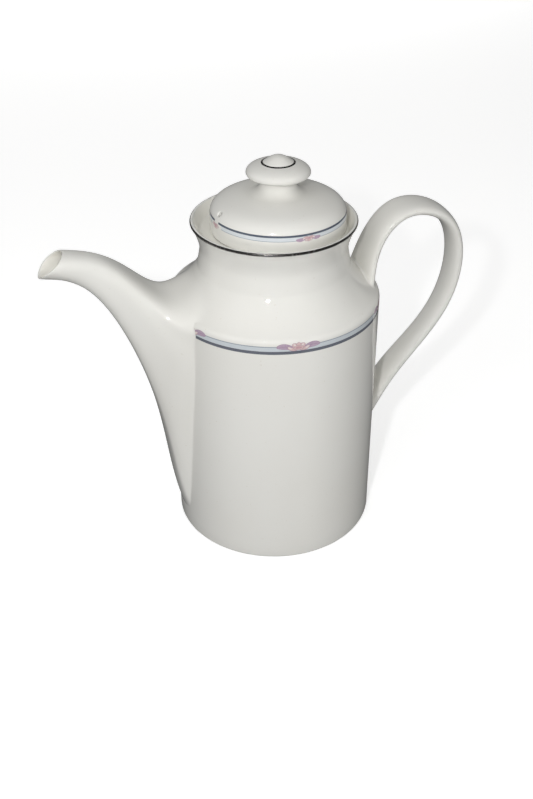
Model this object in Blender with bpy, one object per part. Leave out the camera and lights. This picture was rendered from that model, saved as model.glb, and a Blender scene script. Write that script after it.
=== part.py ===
"""Coffee pot: a turned bone-china body with a luted spout and strap handle, and a lift-off lid.

The pot stands on z = 0 with its spout towards -X and its handle towards +X. The XZ plane is its
mirror plane. Lengths below are written in millimetres times MM, because Blender works in metres.
"""

import math

import bmesh
import bpy
import numpy as np

MM = 0.001

# Where things stand
POT_AXIS_X = 7.1 * MM          # the turned axis, so that spout and handle reach equally far from x = 0
LID_SHIFT_X = 2.1 * MM         # the lid rests this far off the pot's axis, pushed towards the handle
GAP = 0.3 * MM                 # between pieces that touch
LINE_GAP = 0.15 * MM           # under the thin rings, which share their seat's axis and facets
LINE_THICKNESS = 0.35 * MM     # of the platinum lines and the printed bands

# Body
BODY_RADIUS = 52.5 * MM
WALL = 2.8 * MM
WALL_TOP = 129.65 * MM         # the straight wall ends here
CORNER_RADIUS = 3.06 * MM
FOOT_ROUND = 1.0 * MM
FOOT_INNER_RADIUS = 47.0 * MM
RECESS_HEIGHT = 2.0 * MM
FLOOR_HEIGHT = 5.2 * MM
FLOOR_ROUND = 9.0 * MM
SHOULDER = [(51.1, 132.2), (45.5, 135.8), (40.7, 141.1), (37.7, 147.1)]
NECK = [(37.7, 147.1), (36.95, 150.1), (36.15, 154.1), (36.15, 155.8)]
FLARE = [(36.15, 155.8), (36.15, 159.5), (38.35, 165.8), (40.15, 168.5)]
LIP_WALL = 1.8 * MM
RIM_RADIUS = 40.4 * MM
RIM_TOP = 170.1 * MM

# Gallery, the ledge inside the neck that the lid rests on
GALLERY_HEIGHT = 164.7 * MM
GALLERY_RADIUS = 29.8 * MM
GALLERY_OUTER_RADIUS = 35.8 * MM
GALLERY_THICKNESS = 2.6 * MM
GALLERY_ROOT_HEIGHT = 157.5 * MM
THROAT_RADIUS = 33.4 * MM
THROAT_DEPTH = 8.0 * MM        # of its straight part, under the gallery's root
THROAT_CLEAR = 0.4 * MM        # the waist's inside starts this far outside the throat
MOUTH_STEP = (0.4 * MM, 0.9 * MM)  # the chamfer between the gallery and the mouth above it

# Printed band round the body, and the pierced opening behind the spout
BODY_BAND_LOW = 124.9 * MM
BODY_BAND_HIGH = 129.1 * MM
PIERCING_HEIGHT = 96.0 * MM
PIERCING_HALF_WIDTH = 11.0 * MM
PIERCING_HALF_HEIGHT = 19.0 * MM
PIERCING_DEPTH = 20.0 * MM
PIERCING_SIDES = 24

# Spout: its top and under edges in the mirror plane, x from the pot's axis and z, root to lip
SPOUT_TOP = [(-40.0, 141.9), (-50.4, 137.6), (-60.3, 141.3), (-70.6, 150.7), (-84.2, 160.5), (-100.5, 165.0)]
SPOUT_UNDER = [(-55.3, 13.2), (-59.6, 55.0), (-66.6, 91.2), (-78.4, 124.6), (-93.7, 147.0), (-113.4, 155.1)]
SPOUT_HALF_WIDTH = [(0.0, 26.7), (0.2, 23.9), (0.5, 14.3), (0.8, 7.8), (1.0, 8.4)]
SPOUT_ROOT_SQUARENESS = 3.0    # superellipse exponent at the root
SPOUT_LIP_SQUARENESS = 2.0     # a plain oval, which the section only turns into near the lip
SPOUT_ROOT_EGG = 0.36          # the root is this much wider above its middle than at it
SPOUT_EGG_FADE = 1.2
SPOUT_WALL = 2.6 * MM
SPOUT_LIP_WALL = 2.0 * MM
SPOUT_SECTIONS = 19
SPOUT_CROWDING = 1.4           # sections stand closer together towards the root
SPOUT_BEYOND = 1.04            # the bore runs on past the lip to this fraction
SPOUT_SIDES = 32

# Where the spout meets the body: (half width, height) from the middle of its foot up to the saddle
SPOUT_SEAM = [
    (0.0, 10.6), (8.0, 11.0), (12.8, 13.6), (14.4, 19.0), (15.8, 27.8), (17.5, 41.0), (20.0, 62.0), (22.6, 84.5),
    (24.8, 107.2), (26.0, 121.2), (26.7, 128.4), (24.2, 133.4), (17.4, 138.0), (8.8, 140.9), (0.0, 141.7),
]
SEAM_REACH = 0.05              # fraction of the spout in which its root bends onto the seam
SEAM_FADE = 1.6                # how the seam's half width fades into the spout's own
SPOUT_SINK = 2.5 * MM          # the spout is drawn this far into the body before it is cut back
BORE_SINK = 4.0 * MM
NEAR_MIDDLE = 2.0 * MM         # within this of the mirror plane the ring's half width says nothing

# The lip's lower edge turns down into a small beak
BEAK_DROP = 1.3 * MM
BEAK_START = 0.88
BEAK_SHARPNESS = 3

# Handle: the strap's centre line from the shoulder over the top to the wall, and its section
HANDLE_LINE = [
    (44.7, 124.2), (47.0, 138.5), (50.8, 151.4), (64.4, 166.3), (84.6, 163.1),
    (92.6, 116.1), (63.1, 72.8), (53.3, 56.7), (46.2, 43.9),
]
HANDLE_HALF_WIDTH = [(0.0, 19.3), (0.12, 10.7), (0.38, 9.3), (0.68, 7.2), (1.0, 9.9)]
HANDLE_HALF_THICKNESS = [(0.0, 3.1), (0.68, 3.05), (1.0, 3.45)]
HANDLE_SQUARENESS = 2.3
HANDLE_SECTIONS = 36
HANDLE_SIDES = 16

# Lid
LID_RADIUS = 32.75 * MM
LID_SEAT = 165.0 * MM
LID_DOME = [(32.75, 173.4), (32.1, 179.6), (22.8, 181.4), (14.0, 182.5)]
LID_CROWN = 183.4 * MM
LID_WALL = 2.4 * MM
LID_EDGE_BREAK = 0.3 * MM      # the chamfer round the seat's outer edge
LID_HOLLOW_START = 170.0 * MM  # the dome's underside is drawn from this height up
BAND_STEP = 0.02 * MM          # keeps the band seat's upper corner apart from the dome's first point
FLANGE_RADIUS = 27.2 * MM
FLANGE_WALL = 2.2 * MM
FLANGE_BOTTOM = 153.0 * MM
LID_BAND_LOW = 171.9 * MM
LID_BAND_HIGH = 173.4 * MM
VENT_RADIUS = 1.4 * MM
VENT_REACH = 30.7 * MM         # of the middle of the steam vent's mouth from the lid's axis
VENT_HEIGHT = 177.3 * MM
VENT_TILT = math.radians(55.0)  # square to the dome there
VENT_TURN = math.radians(-168.2)
VENT_DEPTH = 14.0 * MM
VENT_SIDES = 16

# Knob, in outline from its foot on the dome to its top
KNOB_FOOT = [(13.6, 183.0), (10.7, 183.4), (8.5, 185.2), (8.5, 188.0)]
KNOB_THROAT = [(8.5, 188.0), (8.5, 189.6), (8.0, 190.5), (9.2, 190.6)]
KNOB_UNDER = [(9.2, 190.6), (11.7, 190.8), (15.26, 190.4), (15.26, 192.4)]
KNOB_UPPER = [(15.26, 192.4), (15.26, 194.9), (11.0, 196.3), (8.3, 196.9)]
KNOB_BUTTON = [(7.1, 197.3), (5.2, 198.6), (3.0, 200.5), (0.0, 200.5)]
KNOB_GROOVE_FLOOR = 196.4 * MM
KNOB_LINE_INNER_RADIUS = 7.25 * MM
KNOB_LINE_OUTER_RADIUS = 8.15 * MM
KNOB_LINE_TOP = 197.3 * MM
KNOB_LINE_BREAK = 0.3 * MM     # the line's outer edge is this much lower than its inner one

TURNED_STEPS = 40
KNOB_STEPS = 24
SMOOTH_BELOW = math.radians(35.0)  # an edge sharper than this is shaded as a corner
ON_AXIS = 1e-7

# Points along each curve of an outline
FOOT_POINTS = 4
CORNER_POINTS = 5
CORNER_SWEEP = (0, 57)
SHOULDER_POINTS = 8
NECK_POINTS = 5
FLARE_POINTS = 7
FLOOR_POINTS = 5
DOME_POINTS = 10
KNOB_FOOT_POINTS = 6
KNOB_THROAT_POINTS = 4
KNOB_UNDER_POINTS = 6
KNOB_UPPER_POINTS = 7
KNOB_BUTTON_POINTS = 6
SEAM_SAMPLES = 200

# The rim line's section, as (inwards from the rim's radius, down from its top) down its outer side and over
RIM_SECTION = [(0.0, 1.0), (0.5, 0.2), (1.1, 0.0)]
RIM_OUTER_INSET = 0.1 * MM
RIM_INNER_INSET = 0.3 * MM
RIM_INNER_DROP = 0.4 * MM

COLOURS = {
    "china": (0.80, 0.79, 0.75, 1.0),
    "platinum": (0.42, 0.42, 0.43, 1.0),
    "transfer": (0.42, 0.46, 0.52, 1.0),
}


def in_metres(points):
    return [(x * MM, z * MM) for x, z in points]


def arc(centre, radius, start_deg, end_deg, count):
    """Points along a circular arc in the (radius, height) plane."""
    angles = np.radians(np.linspace(start_deg, end_deg, count))
    return [(centre[0] + radius * math.cos(a), centre[1] + radius * math.sin(a)) for a in angles]


def bezier(controls, count):
    """Points along one cubic curve, both ends included."""
    a, b, c, d = (np.array(p) for p in controls)
    t = np.linspace(0.0, 1.0, count)[:, None]
    points = a * (1 - t) ** 3 + 3 * b * t * (1 - t) ** 2 + 3 * c * t * t * (1 - t) + d * t ** 3
    return [tuple(p) for p in points]


def offset(points, distance):
    """The outline moved sideways: to the right of its direction of travel when distance is positive."""
    line = np.array(points)
    along = np.gradient(line, axis=0)
    along /= np.linalg.norm(along, axis=1)[:, None]
    return [tuple(p) for p in line + distance * np.stack([along[:, 1], -along[:, 0]], axis=1)]


def spline(points, at):
    """A natural cubic spline through the points, spaced by chord length, read at fractions of its length."""
    knots = np.array(points, float)
    chord = np.concatenate([[0.0], np.cumsum(np.linalg.norm(np.diff(knots, axis=0), axis=1))])
    return spline_at(chord / chord[-1], knots, at)


def spline_at(where, values, at):
    """A natural cubic spline whose value at each `where` is the matching row of `values`."""
    count = len(where)
    step = np.diff(where)
    system = np.eye(count)
    right = np.zeros_like(values)
    for i in range(1, count - 1):
        system[i, i - 1:i + 2] = step[i - 1], 2 * (step[i - 1] + step[i]), step[i]
        right[i] = 6 * ((values[i + 1] - values[i]) / step[i] - (values[i] - values[i - 1]) / step[i - 1])
    bend = np.linalg.solve(system, right)
    cell = np.clip(np.searchsorted(where, at) - 1, 0, count - 2)
    width = step[cell][:, None]
    after = (at - where[cell])[:, None]
    before = width - after
    return (
        (bend[cell] * before ** 3 + bend[cell + 1] * after ** 3) / (6 * width)
        + (values[cell] / width - bend[cell] * width / 6) * before
        + (values[cell + 1] / width - bend[cell + 1] * width / 6) * after
    )


def stepped(table, at):
    """Linear interpolation in a short table of (fraction, millimetres), in metres."""
    fractions, sizes = zip(*table)
    return np.interp(at, fractions, sizes) * MM


def material(name):
    found = bpy.data.materials.get(name)
    if found:
        return found
    made = bpy.data.materials.new(name)
    made.use_nodes = True
    made.diffuse_color = COLOURS[name]
    shader = made.node_tree.nodes["Principled BSDF"]
    shader.inputs["Base Color"].default_value = COLOURS[name]
    shader.inputs["Roughness"].default_value = 0.25 if name == "platinum" else 0.12
    shader.inputs["Metallic"].default_value = 1.0 if name == "platinum" else 0.0
    return made


def new_object(name, mesh_builder, finish, parent=None, at=(0.0, 0.0, 0.0)):
    """One named object from a bmesh, faces outwards, smooth with sharp edges kept."""
    bmesh.ops.recalc_face_normals(mesh_builder, faces=mesh_builder.faces[:])
    mesh = bpy.data.meshes.new(name)
    mesh_builder.to_mesh(mesh)
    mesh_builder.free()
    mesh.materials.append(material(finish))
    mesh.shade_smooth()
    mesh.set_sharp_from_angle(angle=SMOOTH_BELOW)
    made = bpy.data.objects.new(name, mesh)
    bpy.context.scene.collection.objects.link(made)
    made.parent = parent
    made.location = at
    return made


def turned(outline, steps=TURNED_STEPS):
    """A solid of revolution about Z. The outline is a closed loop, or runs from the axis back to it."""
    mesh = bmesh.new()
    rings = []
    for radius, height in outline:
        if radius < ON_AXIS:
            rings.append([mesh.verts.new((0.0, 0.0, height))] * steps)
            continue
        turns = [2 * math.pi * k / steps for k in range(steps)]
        rings.append([mesh.verts.new((radius * math.cos(a), radius * math.sin(a), height)) for a in turns])
    for ring, following in zip(rings, rings[1:] + rings[:1]):
        for k in range(steps):
            corners = [ring[k], ring[(k + 1) % steps], following[(k + 1) % steps], following[k]]
            distinct = list(dict.fromkeys(corners))
            if len(distinct) > 2:
                mesh.faces.new(distinct)
    return mesh


def lofted(sections):
    """A closed solid through equal rings of points, its two ends capped."""
    mesh = bmesh.new()
    rings = [[mesh.verts.new(point) for point in section] for section in sections]
    for ring, following in zip(rings, rings[1:]):
        for k in range(len(ring)):
            after = (k + 1) % len(ring)
            mesh.faces.new((ring[k], ring[after], following[after], following[k]))
    mesh.faces.new(rings[0][::-1])
    mesh.faces.new(rings[-1])
    return mesh


def oval(sides, squareness):
    """Unit superellipse: pairs (across, up)."""
    turns = [2 * math.pi * k / sides for k in range(sides)]
    power = 2.0 / squareness
    return [
        (
            math.copysign(abs(math.cos(a)) ** power, math.cos(a)),
            math.copysign(abs(math.sin(a)) ** power, math.sin(a)),
        )
        for a in turns
    ]


def cut(target, cutter, name):
    """Takes the cutter away from the target, and keeps the cutter out of the model."""
    cutter.hide_render = True
    cutter.display_type = "WIRE"
    modifier = target.modifiers.new(name, "BOOLEAN")
    modifier.operation = "DIFFERENCE"
    modifier.object = cutter


def outer_outline():
    """The body's outside from the foot up to the lip."""
    foot_centre = (BODY_RADIUS - FOOT_ROUND, FOOT_ROUND)
    corner_centre = (BODY_RADIUS - CORNER_RADIUS, WALL_TOP)
    points = arc(foot_centre, FOOT_ROUND, -90, 0, FOOT_POINTS)
    points += arc(corner_centre, CORNER_RADIUS, *CORNER_SWEEP, CORNER_POINTS)[:-1]
    points += bezier(in_metres(SHOULDER), SHOULDER_POINTS)[:-1]
    points += bezier(in_metres(NECK), NECK_POINTS)[:-1]
    points += bezier(in_metres(FLARE), FLARE_POINTS)
    return points


def body_outline():
    """The whole closed section of the body, with the seats of the band and of the rim line."""
    outside = outer_outline()
    seat = LINE_THICKNESS + LINE_GAP
    low, high = BODY_BAND_LOW - LINE_GAP, BODY_BAND_HIGH + LINE_GAP
    band_seat = [(BODY_RADIUS, low), (BODY_RADIUS - seat, low), (BODY_RADIUS - seat, high), (BODY_RADIUS, high)]
    outside = outside[:FOOT_POINTS] + band_seat + outside[FOOT_POINTS:]
    shoulder_start = FOOT_POINTS + len(band_seat)
    flare_start = len(outside) - FLARE_POINTS
    inside = offset(outside[shoulder_start:flare_start], -WALL)
    inside = [p for p in inside if p[0] > THROAT_RADIUS + THROAT_CLEAR]
    lip = offset(outside[-2:], -LIP_WALL)
    mouth = [lip[-1], (GALLERY_OUTER_RADIUS + MOUTH_STEP[0], GALLERY_HEIGHT + MOUTH_STEP[1])]
    gallery = [
        (GALLERY_OUTER_RADIUS, GALLERY_HEIGHT),
        (GALLERY_RADIUS, GALLERY_HEIGHT),
        (GALLERY_RADIUS, GALLERY_HEIGHT - GALLERY_THICKNESS),
        (THROAT_RADIUS, GALLERY_ROOT_HEIGHT),
        (THROAT_RADIUS, GALLERY_ROOT_HEIGHT - THROAT_DEPTH),
    ]
    floor_centre = (BODY_RADIUS - WALL - FLOOR_ROUND, FLOOR_HEIGHT + FLOOR_ROUND)
    floor = arc(floor_centre, FLOOR_ROUND, 0, -90, FLOOR_POINTS) + [(0.0, FLOOR_HEIGHT)]
    recess = [(0.0, RECESS_HEIGHT), (FOOT_INNER_RADIUS - RECESS_HEIGHT, RECESS_HEIGHT), (FOOT_INNER_RADIUS, 0.0)]
    return recess + outside + mouth + gallery + inside[::-1] + floor


def clearance_outline():
    """What the spout and handle are cut back from: the body's outside, grown by the gap and filled in."""
    grown = offset(outer_outline(), GAP)
    return [(0.0, -GAP)] + [(grown[0][0], -GAP)] + grown[1:] + [(0.0, grown[-1][1])]


def root_ring():
    """The spout's free root ring: turn, across and up of each side, before it is bent onto the seam."""
    turns = 2 * math.pi * np.arange(SPOUT_SIDES) / SPOUT_SIDES
    across, up = np.array(oval(SPOUT_SIDES, SPOUT_ROOT_SQUARENESS)).T
    return turns, across, up


def way_round(points):
    """Fraction of the length of a line of points at each of them."""
    run = np.concatenate([[0.0], np.cumsum(np.linalg.norm(np.diff(points, axis=0), axis=1))])
    return run / run[-1]


def seam_points(half_height, half_width):
    """The seam's point for each side of the spout, at the same share of the way round as on the root ring."""
    turns, across, _ = root_ring()
    power = 2.0 / SPOUT_ROOT_SQUARENESS
    fine = np.linspace(-math.pi / 2, math.pi / 2, SEAM_SAMPLES)
    fine_up = np.copysign(np.abs(np.sin(fine)) ** power, fine)
    fine_across = half_width * np.abs(np.cos(fine)) ** power * (1 + SPOUT_ROOT_EGG * fine_up)
    fine_share = way_round(np.stack([fine_across, half_height * fine_up], axis=1))
    share = np.interp(np.arcsin(np.sin(turns)), fine, fine_share)
    knots = np.array(SPOUT_SEAM) * MM
    seam = spline_at(way_round(knots), knots, share)
    outside = np.array(outer_outline())
    radius = np.interp(seam[:, 1], outside[:, 1], outside[:, 0])
    reach = np.sqrt(np.maximum(radius ** 2 - seam[:, 0] ** 2, 0.0))
    return np.stack([-reach, np.copysign(seam[:, 0], across), seam[:, 1]], axis=1)


def beak(at, up):
    """How far each side of a spout ring drops into the beak."""
    rise = np.clip((at - BEAK_START) / (1.0 - BEAK_START), 0.0, 1.0)
    return BEAK_DROP * np.clip(-up, 0.0, 1.0) ** BEAK_SHARPNESS * rise * rise * (3 - 2 * rise)


def spout_sections(shrink_root, shrink_lip, at, sink):
    """Rings of the spout, root to lip, narrowed by a wall that thins on the way. The first is inside the body."""
    places = np.linspace(0.0, 1.0, len(SPOUT_TOP))
    top = spline_at(places, np.array(SPOUT_TOP), at) * MM
    under = spline_at(places, np.array(SPOUT_UNDER), at) * MM
    widths = stepped(SPOUT_HALF_WIDTH, at)
    root_middle, root_half = (top[0] + under[0]) / 2, (top[0] - under[0]) / 2
    _, root_across, root_up = root_ring()
    seam = seam_points(root_half[1], widths[0])
    root_width = widths[0] * root_across * (1 + SPOUT_ROOT_EGG * root_up)
    slim = np.abs(seam[:, 1]) / np.maximum(np.abs(root_width), NEAR_MIDDLE)
    shift_x = seam[:, 0] - (root_middle[0] + root_half[0] * root_up)
    shift_z = seam[:, 2] - (root_middle[1] + root_half[1] * root_up)
    sections = []
    for fraction, high, low, width in zip(at, top, under, widths):
        wall = shrink_root + (shrink_lip - shrink_root) * fraction
        away = max(0.0, 1.0 - fraction)
        rounding = min(1.0, fraction) ** 3
        squareness = SPOUT_ROOT_SQUARENESS + (SPOUT_LIP_SQUARENESS - SPOUT_ROOT_SQUARENESS) * rounding
        across, up = np.array(oval(SPOUT_SIDES, squareness)).T
        middle, half = (high + low) / 2, (high - low) / 2
        half = half * (1.0 - wall / np.linalg.norm(half))
        near = math.exp(-fraction / SEAM_REACH)
        x = middle[0] + half[0] * up + near * shift_x + POT_AXIS_X
        z = middle[1] + half[1] * up + near * shift_z - beak(fraction, up)
        own_width = width * (1 + (slim - 1) * away ** SEAM_FADE) - wall
        y = own_width * across * (1 + SPOUT_ROOT_EGG * away ** SPOUT_EGG_FADE * up)
        sections.append(list(zip(x, y, z)))
    sunk = [(x + sink, y, z) for x, y, z in sections[0]]
    return [sunk] + sections


def handle_sections():
    """Rings of the strap, square to its centre line."""
    at = np.linspace(0.0, 1.0, HANDLE_SECTIONS)
    line = spline(HANDLE_LINE, at) * MM
    along = np.gradient(line, axis=0)
    along /= np.linalg.norm(along, axis=1)[:, None]
    widths = stepped(HANDLE_HALF_WIDTH, at)
    thicknesses = stepped(HANDLE_HALF_THICKNESS, at)
    sections = []
    for centre, way, width, thickness in zip(line, along, widths, thicknesses):
        section = []
        for across, up in oval(HANDLE_SIDES, HANDLE_SQUARENESS):
            x = centre[0] - way[1] * thickness * up
            z = centre[1] + way[0] * thickness * up
            section.append((x + POT_AXIS_X, width * across, z))
        sections.append(section)
    return sections


def make_pot(pot):
    clearance = new_object("body_clearance", turned(clearance_outline()), "china", pot)

    body = new_object("pot_body", turned(body_outline()), "china", pot)
    piercing = bmesh.new()
    bmesh.ops.create_cone(
        piercing, segments=PIERCING_SIDES, radius1=1.0, radius2=1.0, depth=PIERCING_DEPTH, cap_ends=True,
        cap_tris=False,
    )
    for vertex in piercing.verts:
        across, up, along = vertex.co
        vertex.co = (along, across * PIERCING_HALF_WIDTH, up * PIERCING_HALF_HEIGHT)
    hole = new_object("piercing", piercing, "china", pot, (-BODY_RADIUS, 0.0, PIERCING_HEIGHT))
    cut(body, hole, "opening behind the spout")

    at = np.linspace(0.0, 1.0, SPOUT_SECTIONS) ** SPOUT_CROWDING
    spout = new_object("spout", lofted(spout_sections(0.0, 0.0, at, SPOUT_SINK)), "china")
    beyond = np.append(at, SPOUT_BEYOND)
    bore = new_object("spout_bore", lofted(spout_sections(SPOUT_WALL, SPOUT_LIP_WALL, beyond, BORE_SINK)), "china")
    cut(spout, clearance, "seat on the body")
    cut(spout, bore, "bore")

    handle = new_object("handle", lofted(handle_sections()), "china")
    cut(handle, clearance, "seats on the body")

    inner = BODY_RADIUS - LINE_THICKNESS
    band = [
        (BODY_RADIUS, BODY_BAND_LOW), (BODY_RADIUS, BODY_BAND_HIGH), (inner, BODY_BAND_HIGH), (inner, BODY_BAND_LOW),
    ]
    new_object("body_band", turned(band), "transfer", pot)

    outer_edge, inner_edge = outer_outline()[-1], offset(outer_outline()[-2:], -LIP_WALL)[-1]
    rim = [(outer_edge[0] + RIM_OUTER_INSET, outer_edge[1] + LINE_GAP)]
    rim += [(RIM_RADIUS - inwards * MM, RIM_TOP - down * MM) for inwards, down in RIM_SECTION]
    rim += [
        (inner_edge[0] + RIM_INNER_INSET, RIM_TOP - RIM_INNER_DROP),
        (inner_edge[0] + RIM_OUTER_INSET, inner_edge[1] + LINE_GAP),
    ]
    new_object("rim_line", turned(rim), "platinum", pot)


def lid_outline():
    """The lid's closed section: dome, wall with the band's seat, seat, flange, and hollow underside."""
    seat = LINE_THICKNESS + LINE_GAP
    low, high = LID_BAND_LOW - LINE_GAP, LID_BAND_HIGH + LINE_GAP
    dome = bezier(in_metres(LID_DOME), DOME_POINTS)
    band_seat = [(LID_RADIUS - seat, high), (LID_RADIUS - seat, low), (LID_RADIUS, low)]
    flange = [
        (LID_RADIUS, LID_SEAT + LID_EDGE_BREAK),
        (LID_RADIUS - LID_EDGE_BREAK, LID_SEAT),
        (FLANGE_RADIUS, LID_SEAT),
        (FLANGE_RADIUS, FLANGE_BOTTOM),
        (FLANGE_RADIUS - FLANGE_WALL, FLANGE_BOTTOM),
        (FLANGE_RADIUS - FLANGE_WALL, LID_SEAT),
    ]
    underside = [p for p in offset(dome, -LID_WALL) if p[1] > LID_HOLLOW_START]
    raised = (LID_RADIUS - BAND_STEP, high)
    return (
        [(0.0, LID_CROWN - LID_WALL)]
        + underside[::-1]
        + flange[::-1]
        + band_seat[::-1]
        + [raised]
        + dome[1:]
        + [(0.0, LID_CROWN)]
    )


def knob_outline():
    """The knob's closed section, with the groove that the platinum line lies in."""
    points = bezier(in_metres(KNOB_FOOT), KNOB_FOOT_POINTS)[:-1]
    points += bezier(in_metres(KNOB_THROAT), KNOB_THROAT_POINTS)[:-1]
    points += bezier(in_metres(KNOB_UNDER), KNOB_UNDER_POINTS)[:-1]
    points += bezier(in_metres(KNOB_UPPER), KNOB_UPPER_POINTS)
    points += [(KNOB_UPPER[-1][0] * MM, KNOB_GROOVE_FLOOR), (KNOB_BUTTON[0][0] * MM, KNOB_GROOVE_FLOOR)]
    points += bezier(in_metres(KNOB_BUTTON), KNOB_BUTTON_POINTS)
    return [(0.0, LID_CROWN + GAP)] + points


def make_lid(lid):
    shell = new_object("lid_shell", turned(lid_outline()), "china", lid)
    drill = bmesh.new()
    bmesh.ops.create_cone(
        drill, segments=VENT_SIDES, radius1=VENT_RADIUS, radius2=VENT_RADIUS, depth=VENT_DEPTH, cap_ends=True,
        cap_tris=False,
    )
    mouth = (VENT_REACH * math.cos(VENT_TURN), VENT_REACH * math.sin(VENT_TURN), VENT_HEIGHT)
    hole = new_object("vent_drill", drill, "china", lid, mouth)
    hole.rotation_euler = (0.0, VENT_TILT, VENT_TURN)
    cut(shell, hole, "steam vent")

    inner = LID_RADIUS - LINE_THICKNESS
    band = [(LID_RADIUS, LID_BAND_LOW), (LID_RADIUS, LID_BAND_HIGH), (inner, LID_BAND_HIGH), (inner, LID_BAND_LOW)]
    new_object("lid_band", turned(band), "transfer", lid)

    new_object("lid_knob", turned(knob_outline(), KNOB_STEPS), "china", lid)
    floor = KNOB_GROOVE_FLOOR + LINE_GAP
    line = [
        (KNOB_LINE_OUTER_RADIUS, floor),
        (KNOB_LINE_OUTER_RADIUS, KNOB_LINE_TOP - KNOB_LINE_BREAK),
        (KNOB_LINE_INNER_RADIUS, KNOB_LINE_TOP),
        (KNOB_LINE_INNER_RADIUS, floor),
    ]
    new_object("knob_line", turned(line, KNOB_STEPS), "platinum", lid)


def empty(name, location):
    made = bpy.data.objects.new(name, None)
    made.empty_display_size = 0.02
    made.location = location
    bpy.context.scene.collection.objects.link(made)
    return made


def main():
    for old in list(bpy.data.objects):
        bpy.data.objects.remove(old, do_unlink=True)
    make_pot(empty("pot", (POT_AXIS_X, 0.0, 0.0)))
    make_lid(empty("lid", (POT_AXIS_X + LID_SHIFT_X, 0.0, 0.0)))


main()
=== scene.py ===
"""Coffee pot, visual model: smooth glazed china, platinum lines and printed bands on the CAD frame.

Outlines are written in millimetres, as radius from the turned axis and height above the table.
"""

import math

import bmesh
import bpy
import numpy as np
from mathutils import Matrix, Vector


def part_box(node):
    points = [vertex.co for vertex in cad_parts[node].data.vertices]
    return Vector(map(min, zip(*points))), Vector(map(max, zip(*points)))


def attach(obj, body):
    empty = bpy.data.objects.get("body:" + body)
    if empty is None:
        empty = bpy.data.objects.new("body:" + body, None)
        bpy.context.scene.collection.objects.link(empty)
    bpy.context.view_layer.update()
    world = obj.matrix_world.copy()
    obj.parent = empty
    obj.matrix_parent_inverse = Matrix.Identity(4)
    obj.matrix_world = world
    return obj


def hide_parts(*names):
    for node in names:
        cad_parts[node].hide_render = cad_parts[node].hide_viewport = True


MM = 0.001

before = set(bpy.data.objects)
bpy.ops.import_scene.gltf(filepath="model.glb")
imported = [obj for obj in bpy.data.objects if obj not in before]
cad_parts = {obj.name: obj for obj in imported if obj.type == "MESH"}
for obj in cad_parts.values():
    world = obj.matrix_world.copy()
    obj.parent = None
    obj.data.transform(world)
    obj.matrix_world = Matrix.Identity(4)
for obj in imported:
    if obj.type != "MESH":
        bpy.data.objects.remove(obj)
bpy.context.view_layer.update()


# ----- Where the frame puts things

def centre_x(node):
    low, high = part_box(node)
    return (low.x + high.x) / 2 / MM


def half_depth(node):
    low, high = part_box(node)
    return (high.y - low.y) / 2 / MM


POT_X = centre_x("pot_body")
LID_X = centre_x("lid_shell")
# The china is this much inside the CAD's faces, and the prints lie in that room.
PRINT_ROOM = 0.10
WALL_RADIUS = half_depth("pot_body") - PRINT_ROOM
LID_RADIUS = half_depth("lid_shell") - PRINT_ROOM
LID_SEAT = 165.0

STEPS = 192  # sides of a turned piece
CREASE_DEG = 40.0  # edges sharper than this stay sharp
FILLET_ROWS = 9
FILLET_PULL = 0.42  # a fillet's inner control points stand this share of its span off its ends
FILLET_SINK = 0.03  # a fillet lands this far under the surface
SURFACE_STEP = 0.2


# ----- Curves, in millimetres

def bezier(controls, count):
    a, b, c, d = (np.array(p, float) for p in controls)
    t = np.linspace(0.0, 1.0, count)[:, None]
    return a * (1 - t) ** 3 + 3 * b * t * (1 - t) ** 2 + 3 * c * t * t * (1 - t) + d * t ** 3


def arc(centre, radius, start_deg, end_deg, count):
    turn = np.radians(np.linspace(start_deg, end_deg, count))
    return np.stack([centre[0] + radius * np.cos(turn), centre[1] + radius * np.sin(turn)], axis=1)


def rounded(corners, points=6):
    """A polyline of (x, y) or (x, y, corner radius), its corners turned into arcs."""
    bare = [np.array(c[:2], float) for c in corners]
    line = [bare[0]]
    for before, here, after, corner in zip(bare, bare[1:], bare[2:], corners[1:]):
        radius = corner[2] if len(corner) > 2 else 0.0
        back, on = before - here, after - here
        back /= np.linalg.norm(back)
        on /= np.linalg.norm(on)
        half = math.acos(np.clip(back @ on, -1, 1)) / 2
        if radius <= 0 or half > math.radians(89):
            line.append(here)
            continue
        reach = radius / math.tan(half)
        middle = back + on
        centre = here + middle / np.linalg.norm(middle) * radius / math.sin(half)
        first, last = here + back * reach - centre, here + on * reach - centre
        sweep = math.atan2(first[0] * last[1] - first[1] * last[0], first @ last)
        for share in np.linspace(0, 1, points):
            a = sweep * share
            turned_by = np.array([[math.cos(a), -math.sin(a)], [math.sin(a), math.cos(a)]])
            line.append(centre + turned_by @ first)
    line.append(bare[-1])
    return np.array(line)


def tangents(line):
    along = np.gradient(line, axis=0)
    return along / np.linalg.norm(along, axis=1)[:, None]


def offset(line, distance):
    """The line moved to the right of its direction of travel."""
    along = tangents(line)
    return line + distance * np.stack([along[:, 1], -along[:, 0]], axis=1)


def lengths(line):
    """The length of the polyline up to each of its points."""
    return np.concatenate([[0.0], np.cumsum(np.linalg.norm(np.diff(line, axis=0), axis=1))])


def resampled(line, step):
    """The same polyline with points about `step` apart."""
    run = lengths(line)
    at = np.linspace(0, run[-1], max(2, int(run[-1] / step) + 1))
    return np.stack([np.interp(at, run, line[:, k]) for k in range(line.shape[1])], axis=1)


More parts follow.
